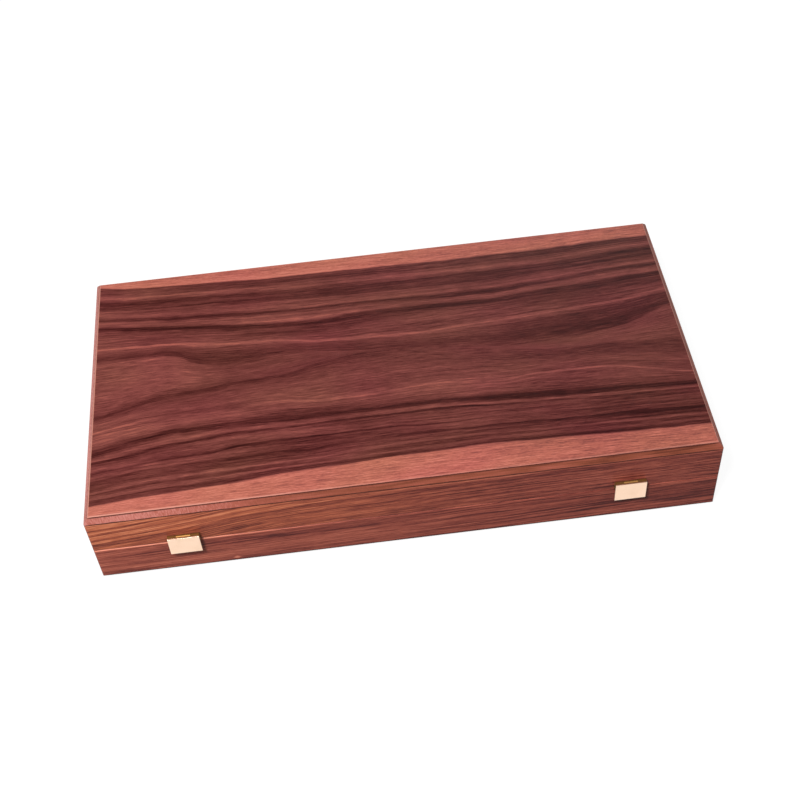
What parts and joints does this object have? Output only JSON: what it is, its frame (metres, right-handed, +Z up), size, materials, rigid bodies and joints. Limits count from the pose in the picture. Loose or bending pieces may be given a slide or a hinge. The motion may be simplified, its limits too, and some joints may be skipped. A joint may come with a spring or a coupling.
{
  "type": "backgammon set",
  "caption": "Folding wooden game case in walnut veneer with brass flap catches, hinged to open flat into an inlaid board with trays for its checkers and dice.",
  "frame": {"origin": "middle of the base's flat lower face, with the case shut", "axes": "+X along the hinges towards the dark checkers, +Y from the catches towards the hinges, +Z up out of the lid"},
  "size_m": [0.48, 0.264, 0.076],
  "materials": {
    "top_veneer": "satin walnut veneer with pale sapwood along two edges",
    "panel_edge": "satin, pale walnut on the bevelled edge",
    "rail_walnut": "satin walnut, grain along each rail",
    "field_ground": "satin walnut marquetry ground",
    "light_inlay": "satin maple inlay",
    "dark_inlay": "satin dark stained inlay",
    "brass": "polished brass",
    "brass_screws": "brass, slotted heads",
    "light_checker": "satin pale wood",
    "dark_checker": "satin dark wood",
    "light_dice": "gloss, dark pips",
    "dark_dice": "gloss, pale pips",
    "doubling_cube": "satin, dark numerals"
  },
  "bodies": {
    "base": {"base_face_veneer": "top_veneer", "base_panel": "panel_edge", "base_front_rail": "rail_walnut", "base_back_rail": "rail_walnut", "base_left_rail": "rail_walnut", "base_right_rail": "rail_walnut", "base_field_ground": "field_ground", "base_light_points": "light_inlay", "base_dark_points": "dark_inlay", "base_tray_divider": "rail_walnut", "base_tray_block": "rail_walnut", "left_hinge_base_leaf": "brass", "right_hinge_base_leaf": "brass", "left_hinge_pin": "brass", "right_hinge_pin": "brass", "hinge_base_screws": "brass_screws", "left_catch_keeper": "brass", "right_catch_keeper": "brass", "catch_keeper_screws": "brass_screws"},
    "lid": {"lid_face_veneer": "top_veneer", "lid_panel": "panel_edge", "lid_front_rail": "rail_walnut", "lid_back_rail": "rail_walnut", "lid_left_rail": "rail_walnut", "lid_right_rail": "rail_walnut", "lid_field_ground": "field_ground", "lid_light_points": "light_inlay", "lid_dark_points": "dark_inlay", "lid_tray_divider": "rail_walnut", "lid_tray_block": "rail_walnut", "left_hinge_lid_leaf": "brass", "right_hinge_lid_leaf": "brass", "hinge_lid_screws": "brass_screws", "left_catch_plate": "brass", "right_catch_plate": "brass", "left_catch_pin": "brass", "right_catch_pin": "brass", "catch_plate_screws": "brass_screws"},
    "left_flap": {"left_catch_flap": "brass"},
    "right_flap": {"right_catch_flap": "brass"},
    "light_checkers_1": {"light_checkers_1": "light_checker"},
    "light_checkers_2": {"light_checkers_2": "light_checker"},
    "light_checkers_3": {"light_checkers_3": "light_checker"},
    "light_checkers_4": {"light_checkers_4": "light_checker"},
    "light_checkers_5": {"light_checkers_5": "light_checker"},
    "dark_checkers_1": {"dark_checkers_1": "dark_checker"},
    "dark_checkers_2": {"dark_checkers_2": "dark_checker"},
    "dark_checkers_3": {"dark_checkers_3": "dark_checker"},
    "dark_checkers_4": {"dark_checkers_4": "dark_checker"},
    "dark_checkers_5": {"dark_checkers_5": "dark_checker"},
    "light_die_1": {"light_die_1": "light_dice"},
    "light_die_2": {"light_die_2": "light_dice"},
    "dark_die_1": {"dark_die_1": "dark_dice"},
    "dark_die_2": {"dark_die_2": "dark_dice"},
    "doubling_cube": {"doubling_cube": "doubling_cube"}
  },
  "joints": [
    {"name": "lid_hinge", "type": "hinge", "parent": "base", "child": "lid", "pos_m": [0, 0.1285, 0.038], "axis": [-1, 0, 0], "range_deg": [0, 180]},
    {"name": "left_flap_hinge", "type": "hinge", "parent": "lid", "child": "left_flap", "pos_m": [-0.1705, -0.12995, 0.0461], "axis": [-1, 0, 0], "range_deg": [0, 90]},
    {"name": "right_flap_hinge", "type": "hinge", "parent": "lid", "child": "right_flap", "pos_m": [0.1705, -0.12995, 0.0461], "axis": [-1, 0, 0], "range_deg": [0, 90]},
    {"name": "light_checkers_1_lift", "type": "slide", "parent": "base", "child": "light_checkers_1", "axis": [0, 0, 1], "range_m": [0, 0.036]},
    {"name": "light_checkers_2_lift", "type": "slide", "parent": "base", "child": "light_checkers_2", "axis": [0, 0, 1], "range_m": [0, 0.036]},
    {"name": "light_checkers_3_lift", "type": "slide", "parent": "base", "child": "light_checkers_3", "axis": [0, 0, 1], "range_m": [0, 0.036]},
    {"name": "light_checkers_4_lift", "type": "slide", "parent": "base", "child": "light_checkers_4", "axis": [0, 0, 1], "range_m": [0, 0.036]},
    {"name": "light_checkers_5_lift", "type": "slide", "parent": "base", "child": "light_checkers_5", "axis": [0, 0, 1], "range_m": [0, 0.036]},
    {"name": "dark_checkers_1_lift", "type": "slide", "parent": "base", "child": "dark_checkers_1", "axis": [0, 0, 1], "range_m": [0, 0.036]},
    {"name": "dark_checkers_2_lift", "type": "slide", "parent": "base", "child": "dark_checkers_2", "axis": [0, 0, 1], "range_m": [0, 0.036]},
    {"name": "dark_checkers_3_lift", "type": "slide", "parent": "base", "child": "dark_checkers_3", "axis": [0, 0, 1], "range_m": [0, 0.036]},
    {"name": "dark_checkers_4_lift", "type": "slide", "parent": "base", "child": "dark_checkers_4", "axis": [0, 0, 1], "range_m": [0, 0.036]},
    {"name": "dark_checkers_5_lift", "type": "slide", "parent": "base", "child": "dark_checkers_5", "axis": [0, 0, 1], "range_m": [0, 0.036]},
    {"name": "light_die_1_lift", "type": "slide", "parent": "base", "child": "light_die_1", "axis": [0, 0, 1], "range_m": [0, 0.036]},
    {"name": "light_die_2_lift", "type": "slide", "parent": "base", "child": "light_die_2", "axis": [0, 0, 1], "range_m": [0, 0.036]},
    {"name": "dark_die_1_lift", "type": "slide", "parent": "base", "child": "dark_die_1", "axis": [0, 0, 1], "range_m": [0, 0.036]},
    {"name": "dark_die_2_lift", "type": "slide", "parent": "base", "child": "dark_die_2", "axis": [0, 0, 1], "range_m": [0, 0.036]},
    {"name": "doubling_cube_lift", "type": "slide", "parent": "base", "child": "doubling_cube", "axis": [0, 0, 1], "range_m": [0, 0.036]}
  ]
}
